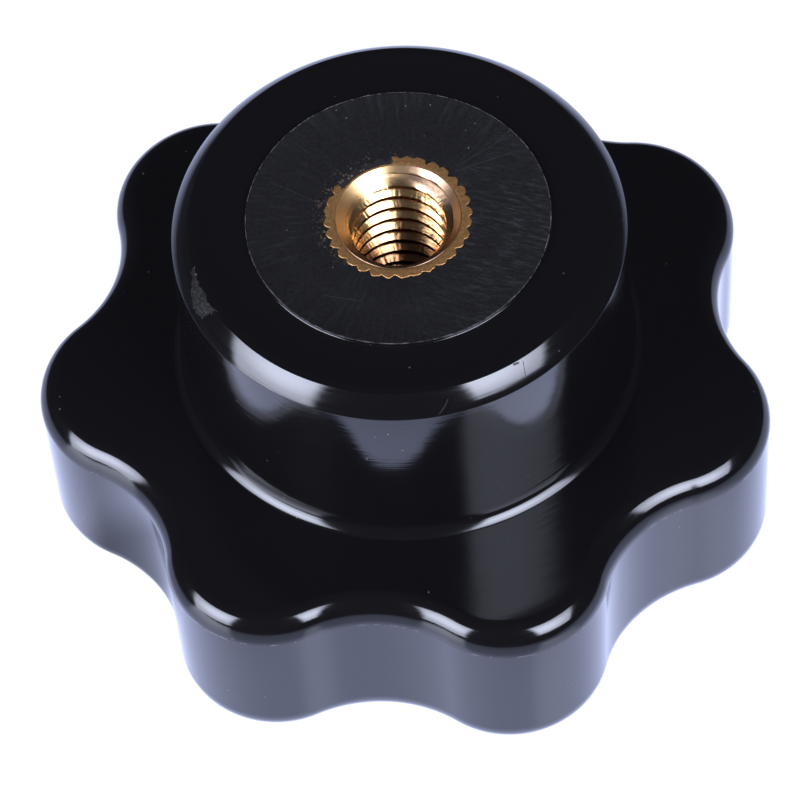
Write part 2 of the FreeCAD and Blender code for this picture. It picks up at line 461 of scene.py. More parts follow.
def swept_piece(name, corners, sizes, skin, machined, columns):
    """A piece made from its section by the tree, as a plain mesh."""
    lobe_centre, valley_centre, valley_radius, meeting = outline_arcs(sizes)
    values = {
        "Columns": columns,
        "Lobes": sizes.lobes,
        "Bearing": sizes.lobe_bearing,
        "Grip Radius": sizes.grip_diameter / 2,
        "Lobe Radius": sizes.lobe_radius,
        "Lobe Centre": lobe_centre,
        "Valley Radius": valley_radius,
        "Valley Centre": valley_centre,
        "Meeting X": meeting.x,
        "Meeting Y": meeting.y,
        "Flash Height": sizes.flash_height,
        "Lip Height": FACE_LOSS,
        "Knurl Teeth": sizes.knurl_teeth,
        "Knurl Depth": sizes.knurl_depth,
        "Tooth Burr": sizes.tooth_burr,
        "Thread Pitch": sizes.thread_pitch,
        "Thread Minor": BORE_RADIUS,
        "Thread Major": sizes.thread_diameter / 2,
        "Thread Burr": sizes.thread_burr,
        "Thread Foot": BORE_FOOT,
        "Mouth Radius": sizes.countersink_diameter / 2,
        "Mouth Height": FACED,
        "Seed": SEED,
        "Skin": skin,
        "Machined Face": machined,
    }
    tree = bpy.data.node_groups.get("turned_section") or swept_tree(values)
    holder = bpy.data.objects.new(name + "_section", section_mesh(name + "_section", corners))
    bpy.context.scene.collection.objects.link(holder)
    modifier = holder.modifiers.new("sweep", "NODES")
    modifier.node_group = tree
    for item in tree.interface.items_tree:
        if item.in_out == "INPUT" and item.name in values:
            modifier[item.identifier] = values[item.name]
    holder.update_tag()
    seen = holder.evaluated_get(bpy.context.evaluated_depsgraph_get())
    mesh = bpy.data.meshes.new_from_object(seen)
    mesh.name = name
    holder.modifiers.remove(modifier)
    bpy.data.objects.remove(holder)
    piece = bpy.data.objects.new(name, mesh)
    bpy.context.scene.collection.objects.link(piece)
    return piece


# Materials

def new_material(name):
    """An empty material, and the places on the knob that its patterns go by."""
    material = bpy.data.materials.new(name)
    material.use_nodes = True
    tree = material.node_tree
    tree.nodes.clear()
    return material, tree, add(tree, "TexCoord").outputs["Object"]


def round_axis(tree, place):
    """A point's direction from the knob's axis, its distance from it and its height."""
    flat = add(tree, "VectorMath", {0: place, 1: (1, 1, 0)}, operation="MULTIPLY")
    direction = add(tree, "VectorMath", {0: flat}, operation="NORMALIZE").outputs["Vector"]
    reach = add(tree, "VectorMath", {0: flat}, operation="LENGTH").outputs["Value"]
    height = add(tree, "SeparateXYZ", {0: place}).outputs["Z"]
    return direction, reach, height


def towards(tree, place, bearing):
    """How far a place or a direction lies towards a bearing from +X."""
    unit = (math.cos(bearing), math.sin(bearing), 0)
    return add(tree, "VectorMath", {0: place, 1: unit}, operation="DOT_PRODUCT").outputs["Value"]


def product(tree, first, *others):
    """Masks or strengths multiplied with each other."""
    for other in others:
        first = add(tree, "Math", {0: first, 1: other}, operation="MULTIPLY")
    return first


def either(tree, first, *others):
    """The highest of several masks."""
    for other in others:
        first = add(tree, "Math", {0: first, 1: other}, operation="MAXIMUM")
    return first


def all_above(tree, *pairs):
    """A mask of where each value lies above its limit."""
    return product(tree, *(
        add(tree, "Math", {0: value, 1: limit}, operation="GREATER_THAN") for value, limit in pairs
    ))


def laid_over(tree, colour, *coats):
    """A colour with others laid over it, each through its mask."""
    for mask, coat in coats:
        mixed = add(tree, "Mix", {"Factor": mask, 6: colour, 7: coat}, data_type="RGBA")
        colour = mixed.outputs[2]
    return colour


def mottled(tree, colour, grain, darkest, palest):
    """A colour that a grain makes darker and paler, between two shares of it."""
    tone = add(tree, "MapRange", {
        "Value": grain, "From Min": 0.3, "From Max": 0.7, "To Min": darkest, "To Max": palest,
    })
    inputs = {0: colour[:3], "Scale": tone.outputs[0]}
    return add(tree, "VectorMath", inputs, operation="SCALE").outputs["Vector"]


def specks(tree, place, cell, radius, share):
    """Small specks in clusters, some faint and some full: one in a share of the cells, up to a radius."""
    cells = add(tree, "TexVoronoi", {"Vector": place, "Scale": 1 / cell})
    lot = add(tree, "SeparateColor", {"Color": cells.outputs["Color"]})
    cluster = add(tree, "TexNoise", {"Vector": place, "Scale": 1 / CLUSTER, "Detail": 1.0})
    crowd = add(tree, "MapRange", {
        "Value": cluster, "From Min": 0.4, "From Max": 0.65, "To Min": -0.6 * share, "To Max": 0.5 * share,
    })
    luck = add(tree, "Math", {0: lot.outputs["Red"], 1: crowd}, operation="ADD")
    size = add(tree, "MapRange", {
        "Value": luck, "From Min": 1 - share, "From Max": 1.0, "To Min": 0.0, "To Max": radius / cell,
    })
    inside = add(tree, "Math", {0: cells.outputs["Distance"], 1: size}, operation="LESS_THAN")
    full = add(tree, "MapRange", {"Value": lot.outputs["Green"], "To Min": 0.25, "To Max": 1.0})
    return product(tree, inside, full)


def scratch(tree, place, start, end, width):
    """A mask of a fine straight scratch between two places in millimetres."""
    along = (Vector(end) - Vector(start)) * MM
    offset = add(tree, "VectorMath", {0: place, 1: Vector(start) * MM}, operation="SUBTRACT")
    unit = along / along.length_squared
    share = add(tree, "VectorMath", {0: offset, 1: unit}, operation="DOT_PRODUCT").outputs["Value"]
    kept = add(tree, "Clamp", {"Value": share})
    foot = add(tree, "VectorMath", {0: along, "Scale": kept.outputs[0]}, operation="SCALE")
    gap = add(tree, "VectorMath", {0: offset, 1: foot}, operation="DISTANCE").outputs["Value"]
    return add(tree, "Math", {0: gap, 1: width * MM}, operation="LESS_THAN")


# Distance between clusters of specks
CLUSTER = 5 * MM
# How pale scratches and rubbed resin are, from 0, as the resin, to 1, as dust
RIM_SCRATCHED = 0.15
DISC_SCRATCHED = 0.35
RUBBED = 0.04
# Scratches on the rim and nicks in its gloss: start, end and half width in millimetres
RIM_SCRATCHES = (
    ((1.30, -11.86, 21.90), (1.62, -11.60, 22.20), 0.022),
    ((1.62, -11.60, 22.20), (1.80, -11.36, 22.45), 0.016),
)
RIM_NICKS = (
    ((5.84, -9.56, 22.73), (5.92, -10.14, 22.18), 0.025),
    ((5.36, -9.76, 22.79), (5.60, -9.68, 22.79), 0.06),
)
# The rubbed place on the rim's left is a leaf: it starts at a point on the rim's inner edge, widens
# towards the front and ends there; these are its radii and its positions along Y
RUBBED_INNER = 11.05 * MM
RUBBED_OUTER = 11.75 * MM
RUBBED_BACK = -1.9 * MM
RUBBED_WIDEST = -3.8 * MM
RUBBED_FRONT = -4.9 * MM
# The rub reaches down to this height on the rim
RUBBED_FOOT = 21.5 * MM
# The polishing lines in the resin lie this far apart, and so do the turned marks in the bore
POLISH_GAP = 0.15 * MM
TURNING_GAP = 0.06 * MM
RESIN_IOR = 1.5


def phenolic_skin(finish, sizes):
    """Moulded phenolic: a hard resin skin with a mirror gloss, faint polishing lines, pale dust, nicks, and a
    painted highlight along the disc's lip.
    """
    material, tree, place = new_material("moulded_phenolic")
    direction, reach, height = round_axis(tree, place)

    # Polishing lines run round the axis, some 4 mm long
    turned = add(tree, "VectorMath", {0: direction, "Scale": 3.0}, operation="SCALE")
    bands = add(tree, "CombineXYZ", {"Z": product(tree, reach, 1 / POLISH_GAP)})
    lined = add(tree, "VectorMath", {0: turned, 1: bands}, operation="ADD")
    lines = add(tree, "TexNoise", {
        "Vector": lined, "W": product(tree, height, 1 / POLISH_GAP), "Scale": 1.0, "Detail": 2.0,
    }, noise_dimensions="4D")
    wave = add(tree, "TexNoise", {"Vector": place, "Scale": 1 / (1.4 * MM), "Detail": 2.0})
    wavy = add(tree, "Bump", {"Height": wave, "Strength": 0.5, "Distance": 0.006 * MM})
    on_hub = add(tree, "MapRange", {
        "Value": height, "From Min": sizes.grip_thickness, "From Max": sizes.grip_thickness + 0.5 * MM,
        "To Min": 0.1, "To Max": 0.5,
    })
    polished = add(tree, "Bump", {
        "Height": lines, "Strength": on_hub, "Distance": 0.008 * MM, "Normal": wavy,
    })

    dust = specks(tree, place, cell=0.65 * MM, radius=0.05 * MM, share=0.35)
    # Broken flash: pale flecks along the parting line
    parting = sizes.grip_thickness - sizes.parting_drop
    at_parting = add(tree, "Math", {0: height, 1: parting, 2: 0.06 * MM}, operation="COMPARE")
    flecks = product(tree, at_parting, specks(tree, place, cell=0.2 * MM, radius=0.11 * MM, share=0.8))
    scratches = [product(tree, scratch(tree, place, *line), RIM_SCRATCHED) for line in RIM_SCRATCHES]
    nicks = [scratch(tree, place, *line) for line in RIM_NICKS]
    # Painted highlight: the lip on the disc's edge is pale, in dashes, where its edge catches the light
    lip_highlight_band = add(tree, "Math", {
        0: reach, 1: sizes.disc_diameter / 2 - 0.01 * MM, 2: 0.035 * MM,
    }, operation="COMPARE")
    broken = add(tree, "TexNoise", {
        "Vector": place, "Scale": 1 / (0.45 * MM), "Detail": 3.0, "Roughness": 0.8,
    })
    lip_highlight_dashes = add(tree, "MapRange", {
        "Value": broken, "From Min": 0.42, "From Max": 0.62, "To Min": 0.06, "To Max": 0.55,
    })
    lip = product(tree, lip_highlight_band, all_above(tree, (height, FACE_HEIGHT - 0.06 * MM)), lip_highlight_dashes)

    # The rubbed place, with a frayed edge and grit in it
    sides = add(tree, "SeparateXYZ", {0: place})
    frayed = add(tree, "MapRange", {"Value": broken, "To Min": -0.4 * MM, "To Max": 0.4 * MM})
    rub_reach = add(tree, "Math", {0: reach, 1: frayed}, operation="ADD")
    rub_along = add(tree, "Math", {0: sides.outputs["Y"], 1: frayed}, operation="ADD")
    leaf = add(tree, "MapRange", {
        "Value": sides.outputs["Y"], "From Min": RUBBED_BACK, "From Max": RUBBED_WIDEST,
        "To Min": RUBBED_INNER, "To Max": RUBBED_OUTER,
    })
    rubbed = all_above(
        tree, (leaf, rub_reach), (rub_reach, RUBBED_INNER), (rub_along, RUBBED_FRONT),
        (0.0, sides.outputs["X"]), (height, RUBBED_FOOT),
    )
    gritty = product(tree, rubbed, specks(tree, place, cell=0.13 * MM, radius=0.09 * MM, share=0.9))
    scuffs = add(tree, "TexNoise", {"Vector": place, "Scale": 1 / (0.15 * MM), "Detail": 3.0})
    scuffed = add(tree, "MapRange", {
        "Value": scuffs, "From Min": 0.35, "From Max": 0.65, "To Min": 0.1, "To Max": 0.5,
    })

    # The marks take in the lip's painted highlight, laid on in the dust colour
    marks_and_lip_highlight = either(tree, dust, flecks, gritty, product(tree, rubbed, RUBBED), lip, *scratches)
    tint = laid_over(tree, finish.phenolic, (marks_and_lip_highlight, finish.dust))
    dull = add(tree, "MapRange", {
        "Value": lines, "From Min": 0.3, "From Max": 0.75, "To Min": 0.07, "To Max": 0.13,
    })
    harsh = either(tree, marks_and_lip_highlight, product(tree, rubbed, scuffed), *nicks)
    rough = add(tree, "Mix", {"Factor": harsh, 2: dull, 3: 0.6})
    shader = add(tree, "BsdfPrincipled", {
        "Base Color": tint, "Roughness": rough, "IOR": RESIN_IOR, "Normal": polished,
    })
    add(tree, "OutputMaterial", {"Surface": shader})
    return material


# The side of the disc that is scored hardest and the strokes' run there, as bearings from +X
SCORED_SIDE = math.radians(-24)
STROKE = math.radians(-20)
STROKE_LENGTH = 1.1 * MM
STROKE_GAP = 0.2 * MM
# The length of the fainter scores all round
SCORE_LENGTH = 2 * MM
# Long scratches on the disc, in millimetres: start, end and half width
DISC_SCRATCHES = (
    ((3.2, 2.6, 23.03), (6.2, 3.5, 23.03), 0.02),
    ((3.4, 3.0, 23.03), (6.9, 5.0, 23.03), 0.016),
    ((-3.9, 1.2, 23.03), (-6.6, 2.9, 23.03), 0.016),
    ((-4.2, -4.6, 23.03), (-2.2, -5.2, 23.03), 0.014),
)
# The bearing from +X round which the crumbs of torn resin lie
CRUMB_MIDDLE = math.radians(150)


def phenolic_machined(finish):
    """Faced phenolic: dull grey from the cutter, scored outwards from the insert and dusted."""
    material, tree, place = new_material("machined_phenolic")
    direction, reach, _ = round_axis(tree, place)

    # Scores run outwards, about 0.15 mm apart half way out
    spread = add(tree, "VectorMath", {0: direction, "Scale": 38.0}, operation="SCALE")
    scores = add(tree, "TexNoise", {
        "Vector": spread, "W": product(tree, reach, 1 / SCORE_LENGTH),
        "Scale": 1.0, "Detail": 3.0, "Roughness": 0.65,
    }, noise_dimensions="4D")
    # On the side that is scored hardest the strokes lie side by side
    run = add(tree, "CombineXYZ", {
        "X": product(tree, towards(tree, place, STROKE), 1 / STROKE_LENGTH),
        "Y": product(tree, towards(tree, place, STROKE + math.pi / 2), 1 / STROKE_GAP),
    })
    strokes = add(tree, "TexNoise", {"Vector": run, "Scale": 1.0, "Detail": 4.0, "Roughness": 0.75})
    hard = add(tree, "MapRange", {
        "Value": towards(tree, direction, SCORED_SIDE), "From Min": 0.25, "From Max": 0.9,
    }, interpolation_type="SMOOTHSTEP")
    patchy = add(tree, "TexNoise", {"Vector": place, "Scale": 1 / (2.2 * MM), "Detail": 2.0})
    here = add(tree, "MapRange", {"Value": patchy, "From Min": 0.35, "From Max": 0.65})
    strong = add(tree, "MapRange", {"Value": here, "To Min": 0.3, "To Max": 1.0})
    stroke = add(tree, "MapRange", {
        "Value": strokes, "From Min": 0.48, "From Max": 0.72, "To Max": 0.65,
    })
    score = add(tree, "MapRange", {"Value": scores, "From Min": 0.5, "From Max": 0.8, "To Max": 0.25})
    shown = add(tree, "Mix", {
        "Factor": hard, 2: product(tree, score, here), 3: product(tree, stroke, strong),
    })
    scratches = [product(tree, scratch(tree, place, *line), DISC_SCRATCHED) for line in DISC_SCRATCHES]

    near_insert = add(tree, "MapRange", {
        "Value": reach, "From Min": INSERT_HIGH.x, "From Max": INSERT_HIGH.x + 0.7 * MM,
        "To Min": 1.0, "To Max": 0.0,
    })
    on_side = add(tree, "MapRange", {
        "Value": towards(tree, direction, CRUMB_MIDDLE), "From Min": 0.2, "From Max": 0.6,
    })
    torn = specks(tree, place, cell=0.14 * MM, radius=0.09 * MM, share=0.6)
    crumbs = product(tree, near_insert, on_side, torn)
    dust = specks(tree, place, cell=0.45 * MM, radius=0.04 * MM, share=0.35)
    grain = add(tree, "TexNoise", {"Vector": place, "Scale": 1 / (0.18 * MM), "Detail": 2.0})
    scored = either(tree, shown, *scratches)
    tint = laid_over(
        tree, mottled(tree, finish.machined, grain, 0.6, 1.45),
        (scored, finish.scored), (crumbs, finish.crumbs), (dust, finish.dust),
    )
    cut = add(tree, "Bump", {"Height": scores, "Strength": 0.35, "Distance": 0.004 * MM})
    shader = add(tree, "BsdfPrincipled", {
        "Base Color": tint, "Roughness": 0.38, "IOR": RESIN_IOR, "Normal": cut,
    })
    add(tree, "OutputMaterial", {"Surface": shader})
    return material


# Where the resin is smeared over the brass: bearings from +X, and the radius where it starts
SMEAR_START = math.radians(92)
SMEAR_END = math.radians(143)
SMEAR_INNER = 3.42 * MM


def faced_brass(finish):
    """Faced brass: dull tan from the facing cut, with the resin dragged over a part of it."""
    material, tree, place = new_material("faced_brass")
    direction, reach, _ = round_axis(tree, place)
    marks = add(tree, "TexNoise", {"Vector": place, "Scale": 1 / (0.18 * MM), "Detail": 4.0})
    # The smear: an arc round the mouth whose edges are torn
    torn = add(tree, "TexNoise", {
        "Vector": place, "Scale": 1 / (0.35 * MM), "Detail": 4.0, "Roughness": 0.7,
    })
    tear = add(tree, "MapRange", {"Value": torn, "To Min": -0.06, "To Max": 0.06})
    facing = towards(tree, direction, (SMEAR_START + SMEAR_END) / 2)
    ragged = add(tree, "Math", {0: facing, 1: tear}, operation="ADD")
    torn_reach = add(tree, "Math", {0: tear, 1: 1.6 * MM, 2: reach}, operation="MULTIPLY_ADD")
    in_arc = math.cos((SMEAR_END - SMEAR_START) / 2)
    smeared = all_above(tree, (ragged, in_arc), (torn_reach, SMEAR_INNER))
    bits = product(tree, smeared, specks(tree, place, cell=0.16 * MM, radius=0.1 * MM, share=0.6))
    ground = mottled(tree, finish.brass_face, marks, 0.62, 1.0)
    tint = laid_over(tree, ground, (smeared, finish.smear), (bits, finish.crumbs))
    metal = add(tree, "Math", {0: 1.0, 1: smeared}, operation="SUBTRACT")
    cut = add(tree, "Bump", {"Height": marks, "Strength": 0.6, "Distance": 0.03 * MM})
    shader = add(tree, "BsdfPrincipled", {
        "Base Color": tint, "Metallic": metal, "Roughness": 0.55, "Normal": cut,
    })
    add(tree, "OutputMaterial", {"Surface": shader})
    return material


# The side of the mouth's cone that stays bright, as a bearing from +X; away from it the cone gets painted
# shade
BRIGHT_SIDE = math.radians(140)


def tapped_brass(finish):
    """Tapped brass: bright and finely drawn in the thread, rougher at the mouth, with painted shade further
    down the bore and on the mouth's cone away from its bright side.
    """
    material, tree, place = new_material("tapped_brass")
    direction, _, height = round_axis(tree, place)
    # The cutter's lines run round the bore
    turned = add(tree, "VectorMath", {0: direction, "Scale": 2.0}, operation="SCALE")
    lines = add(tree, "TexNoise", {
        "Vector": turned, "W": product(tree, height, 1 / TURNING_GAP), "Scale": 1.0, "Detail": 3.0,
    }, noise_dimensions="4D")
    marks = add(tree, "TexNoise", {"Vector": place, "Scale": 1 / (0.22 * MM), "Detail": 3.0})
    pitted = add(tree, "Bump", {"Height": marks, "Strength": 0.5, "Distance": 0.012 * MM})
    cut = add(tree, "Bump", {
        "Height": lines, "Strength": 0.6, "Distance": 0.006 * MM, "Normal": pitted,
    })
    below = add(tree, "Math", {0: FACE_HEIGHT, 1: height}, operation="SUBTRACT")
    rough = add(tree, "MapRange", {
        "Value": below, "From Min": 0.35 * MM, "From Max": 0.9 * MM, "To Min": 0.32, "To Max": 0.17,
    })
    # Painted shade: the brass darkens with depth in the bore
    painted_bore_shade = add(tree, "MapRange", {"Value": below, "From Min": 1.5 * MM, "From Max": 7 * MM})
    # Painted shade on the mouth's cone, strongest away from its bright side
    painted_cone_shade = add(tree, "MapRange", {
        "Value": towards(tree, direction, BRIGHT_SIDE), "From Min": 1.0, "From Max": 0.3,
    })
    on_cone = add(tree, "MapRange", {
        "Value": below, "From Min": 0.7 * MM, "From Max": 1.0 * MM, "To Min": 1.0, "To Max": 0.0,
    })
    # The cone's painted shade, kept to the cone
    dull = product(tree, painted_cone_shade, on_cone)
    tint = laid_over(tree, finish.brass_thread, (painted_bore_shade, finish.brass_painted_shade), (dull, finish.brass_cone_shade))
    shader = add(tree, "BsdfPrincipled", {
        "Base Color": tint, "Metallic": 1.0, "Roughness": rough, "Normal": cut,
    })
    add(tree, "OutputMaterial", {"Surface": shader})
    return material


# Pieces

class STARKNOB_OT_moulding(bpy.types.Operator):
    """Moulds the phenolic body: the lobed grip and the hub with its machined disc"""

    bl_idname = "starknob.moulding"
    bl_label = "Moulded body"

    def execute(self, context):
        sizes = context.scene.star_knob_sizes
        finish = context.scene.star_knob_finish
        piece = swept_piece(
            "phenolic_moulding", body_corners(sizes), sizes,
            phenolic_skin(finish, sizes), phenolic_machined(finish), columns=640,
        )
        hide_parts(BODY_NODE)
        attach(piece, "root")
        return {"FINISHED"}


# How far the mould's halves are out of line, and the half height of the flash between them
MISMATCH = 0.03 * MM
FLASH_HALF = 0.02 * MM
# The upright land beside the parting line
LAND = 0.1 * MM
# The knurl's teeth are whole up to this height and torn above it
TORN_FOOT = FACE_HEIGHT - 0.15 * MM
# The fine ring that the mould left on the hub's face: its distance from the rim, half width and height
RING_INSET = 0.35 * MM
RING_HALF = 0.03 * MM
RING_HEIGHT = 0.008 * MM


def body_corners(sizes):
    """The moulding's section, from the middle of its outer face to the foot of the insert's pocket."""
    grip_radius = sizes.grip_diameter / 2
    thickness = sizes.grip_thickness
    parting = thickness - sizes.parting_drop
    foot_radius = grip_radius - parting * math.tan(sizes.wall_draft)
    lower_radius = grip_radius - MISMATCH

    hub_radius = sizes.hub_diameter / 2
    face = FACE_HEIGHT - sizes.disc_rise
    rim_foot = face - sizes.rim_drop
    cove = sizes.cove_radius
    cove_turn = math.pi / 2 - sizes.cove_edge_angle
    cove_top = thickness + cove * math.sin(cove_turn)
    wall_foot = hub_radius + (rim_foot - cove_top) * math.tan(sizes.hub_draft)
    cove_edge = wall_foot + cove * (1 - math.cos(cove_turn))
    rim_start = Vector((hub_radius, 0, rim_foot))
    rim_end = Vector((hub_radius - sizes.rim_width, 0, face))
    ring = rim_end.x - RING_INSET
    disc_radius = sizes.disc_diameter / 2

    corners = [
        spot(0, 0),
        spot(0.3 * grip_radius, 0),
        spot(0.6 * grip_radius, 0),
        spot(foot_radius, 0, sizes.bottom_edge_radius, lobed=1),
        spot(lower_radius - LAND * math.tan(sizes.wall_draft), parting - LAND, lobed=1),
        spot(lower_radius, parting - FLASH_HALF, lobed=1),
        spot(lower_radius, parting - FLASH_HALF / 2, lobed=1, flashed=1),
        spot(lower_radius, parting + FLASH_HALF / 2, lobed=1, flashed=1),
        spot(grip_radius, parting + FLASH_HALF, lobed=1),
        *top_rounding(sizes),
        spot(cove_edge + 2.0 * MM, thickness),
        spot(cove_edge, thickness, 0.03 * MM),
    ]
    for step in range(1, 8):
        turn = cove_turn * (1 - step / 8)
        corners.append(spot(wall_foot + cove * (1 - math.cos(turn)), cove_top - cove * math.sin(turn)))
    corners += [
        spot(wall_foot, cove_top),
        spot(wall_foot - LAND * math.tan(sizes.hub_draft), cove_top + LAND),
        spot(hub_radius, rim_foot, 0.03 * MM),
        *arc_between(rim_start, rim_end, sizes.rim_crown, count=10),
        spot(rim_end.x, rim_end.z, 0.02 * MM),
        spot(ring + RING_HALF, face),
        spot(ring, face + RING_HEIGHT),
        spot(ring - RING_HALF, face),
        spot(disc_radius + 0.3 * MM, face),
        spot(disc_radius + 0.02 * MM, face, sizes.disc_foot_radius),
        spot(disc_radius, FACED, lipped=1),
        spot(disc_radius - 0.03 * MM, FACED, lipped=1),
        spot(disc_radius - 0.06 * MM, FACED, machined=1),
        spot(0.75 * disc_radius, FACED, machined=1),
        spot(INSERT_HIGH.x + 0.25 * MM, FACED, machined=1),
        spot(INSERT_HIGH.x, FACED - 0.03 * MM, knurled=1, burred=1, machined=1),
        spot(INSERT_HIGH.x, TORN_FOOT, knurled=1),
        *reversed(groove(sizes)),
        spot(INSERT_HIGH.x, INSERT_LOW.z, knurled=1),
        spot(0, INSERT_LOW.z),
    ]
    return corners


def groove(sizes):
    """The insert's anchoring groove, upwards."""
    top = FACE_HEIGHT - sizes.groove_below_face
    foot = top - sizes.groove_width
    floor = INSERT_HIGH.x - sizes.groove_depth
    return [
        spot(INSERT_HIGH.x, foot, knurled=1), spot(floor, foot), spot(floor, top),
        spot(INSERT_HIGH.x, top, knurled=1),
    ]


def top_rounding(sizes):
    """The grip's top edge: a wide arc up from the parting line, then a tighter one into the top face."""
    grip_radius = sizes.grip_diameter / 2
    thickness = sizes.grip_thickness
    turn = sizes.edge_turn
    upper = sizes.top_edge_radius
    # The tight arc turns from level to the slope, and the wide one from there to upright
    lower_turn = math.pi / 2 - turn
    land_top = thickness - sizes.parting_drop + LAND
    lower = (thickness - land_top - upper * (1 - math.cos(turn))) / math.sin(lower_turn)
    lower_reach = lower * (1 - math.cos(lower_turn))
    spots = []
    steps = 8
    for step in range(steps):
        at = lower_turn * step / steps
        spots.append(spot(grip_radius - lower * (1 - math.cos(at)), land_top + lower * math.sin(at), lobed=1))
    for step in range(steps + 1):
        at = turn * (1 - step / steps)
        inwards = lower_reach + upper * (math.sin(turn) - math.sin(at))
        spots.append(spot(grip_radius - inwards, thickness - upper * (1 - math.cos(at)), lobed=1))
    spots.append(spot(grip_radius - inwards - SUPPORT, thickness, lobed=1))
    return spots


class STARKNOB_OT_insert(bpy.types.Operator):
    """Turns, knurls and taps the brass insert"""

    bl_idname = "starknob.insert"
    bl_label = "Threaded insert"

    def execute(self, context):
        sizes = context.scene.star_knob_sizes
        finish = context.scene.star_knob_finish
        piece = swept_piece(
            "brass_insert", insert_corners(sizes), sizes,
            tapped_brass(finish), faced_brass(finish), columns=512,
        )
        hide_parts(INSERT_NODE)
        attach(piece, "root")
        return {"FINISHED"}


def insert_corners(sizes):
    """The insert's section, from its inner end over its face and down the tapped bore."""
    radius = INSERT_HIGH.x
    mouth = sizes.countersink_diameter / 2
    point_length = BORE_RADIUS / math.tan(sizes.drill_point / 2)
    return [
        spot(0, INSERT_LOW.z),
        spot(radius, INSERT_LOW.z, knurled=1),
        *groove(sizes),
        spot(radius, TORN_FOOT, knurled=1),
        spot(radius, FACED, 0.05 * MM, knurled=1, burred=1, machined=1),
        spot(radius - sizes.knurl_depth - 0.1 * MM, FACED, machined=1),
        spot(mouth + 0.04 * MM, FACED, machined=1),
        spot(mouth + 0.012 * MM, FACED - 0.012 * MM),
        *[spot(mouth, height, threaded=1) for height in thread_heights(sizes.thread_pitch, FACED)],
        spot(BORE_RADIUS, BORE_FOOT),
        spot(0, BORE_FOOT - point_length),
    ]


# Where rows lie on the thread, as shares of the pitch: at the four corners and between them
THREAD_ROWS = (0.0, 0.125, 0.28, 0.4375, 0.5625, 0.72, 0.875)
MOUTH_TURNS = 2


def thread_heights(pitch, top):
    """Heights of the rows down the bore: close together in the mouth, then as the thread needs them."""
    foot = BORE_FOOT - pitch
    first = math.floor(top / pitch)
    heights = [top]
    for turn in range(first, math.floor(foot / pitch) - 1, -1):
        shares = [step / 16 for step in range(16)] if turn >= first - MOUTH_TURNS else THREAD_ROWS
        heights += [
            height for height in ((turn + share) * pitch for share in reversed(shares)) if foot < height < top
        ]
    return [*heights, foot]


# Stage

class STARKNOB_OT_stage(bpy.types.Operator):
    """Sets up the camera, the white floor and the soft lamps"""

    bl_idname = "starknob.stage"
    bl_label = "Stage"

    def execute(self, context):
        stage = context.scene.star_knob_stage
        place_camera(context.scene, stage)
        place_floor(context.scene, stage)
        place_lamps(context.scene, stage)
        light_world(context.scene)
        context.scene.view_settings.view_transform = "Standard"
        return {"FINISHED"}


def place_camera(scene, stage):
    """The camera in front of the knob, turned as the picture is."""
    back = Vector((0, -math.cos(stage.view_elevation), math.sin(stage.view_elevation)))
    location = Vector((0, 0, stage.view_height)) + back * stage.view_distance
    looking = (Vector(stage.aim) - location).to_track_quat("-Z", "Y").to_matrix()
    data = bpy.data.cameras.new("camera")
    data.sensor_width = 36
    data.angle = stage.view_angle
    data.clip_start = 0.01
    camera = bpy.data.objects.new("camera", data)
    turned = looking @ Matrix.Rotation(stage.view_roll, 3, "Z")
    camera.matrix_world = Matrix.Translation(location) @ turned.to_4x4()
    scene.collection.objects.link(camera)
    scene.camera = camera


# The floor lies this far under the knob, so that the two don't share a surface
FLOOR_HEIGHT = -0.01 * MM
# How bright reflections of the table are, from a point's near distance to its far one in metres: round
# the knob's axis, and in the valley between two lobes on the left, where they shade it
TABLE_LIGHT = (
    ((0, 0, 0), 0.0225, 0.03, 2.0, 1.3),
    ((0, 0, 0), 0.04, 0.12, 1.0, 0.05),
    ((-0.0169, -0.0064, 0), 0.0012, 0.0045, 0.5, 1.0),
)


def place_floor(scene, stage):
    """A glossy white card in a dim room, which glows with painted light in reflections, and which the camera
    sees as plain white with a soft shadow.
    """
    half = stage.floor_size / 2
    mesh = bpy.data.meshes.new("floor")
    square = ((-half, -half), (half, -half), (half, half), (-half, half))
    mesh.from_pydata([(x, y, FLOOR_HEIGHT) for x, y in square], [], [(0, 1, 2, 3)])
    floor = bpy.data.objects.new("floor", mesh)
    scene.collection.objects.link(floor)
    material, tree, place = new_material("white_card")
    rays = add(tree, "LightPath")
    lights = []
    for middle, near, far, there, beyond in TABLE_LIGHT:
        away = add(tree, "VectorMath", {0: place, 1: middle}, operation="DISTANCE").outputs["Value"]
        lights.append(add(tree, "MapRange", {
            "Value": away, "From Min": near, "From Max": far, "To Min": there, "To Max": beyond,
        }, interpolation_type="SMOOTHSTEP"))
    painted_table_light = product(tree, *lights)
    # In reflections the card glows with painted light, bright round the knob and with painted shade in the
    # valley on the left; it is glossy, and on the right plain
    glossy = add(tree, "BsdfPrincipled", {
        "Base Color": (0, 0, 0, 1), "Roughness": 0.16, "IOR": 1.5,
        "Emission Color": stage.card, "Emission Strength": painted_table_light,
    })
    plain = add(tree, "Emission", {"Color": stage.card, "Strength": painted_table_light})
    across = add(tree, "SeparateXYZ", {0: place}).outputs["X"]
    rightwards = add(tree, "MapRange", {"Value": across, "From Min": 0.02, "From Max": 0.034})
    card = add(tree, "MixShader", {0: rightwards, 1: glossy, 2: plain})
    matt = add(tree, "BsdfDiffuse", {"Color": linear("f0f0f0")})
    white = add(tree, "Emission", {"Color": linear("ffffff"), "Strength": 1.1})
    other = add(tree, "MixShader", {0: rays.outputs["Is Glossy Ray"], 1: matt, 2: card})
    # The camera sees plain white, through which a little of the knob's shadow comes
    seen = product(tree, rays.outputs["Is Camera Ray"], 0.88)
    mixed = add(tree, "MixShader", {0: seen, 1: other, 2: white})
    add(tree, "OutputMaterial", {"Surface": mixed})
    mesh.materials.append(material)


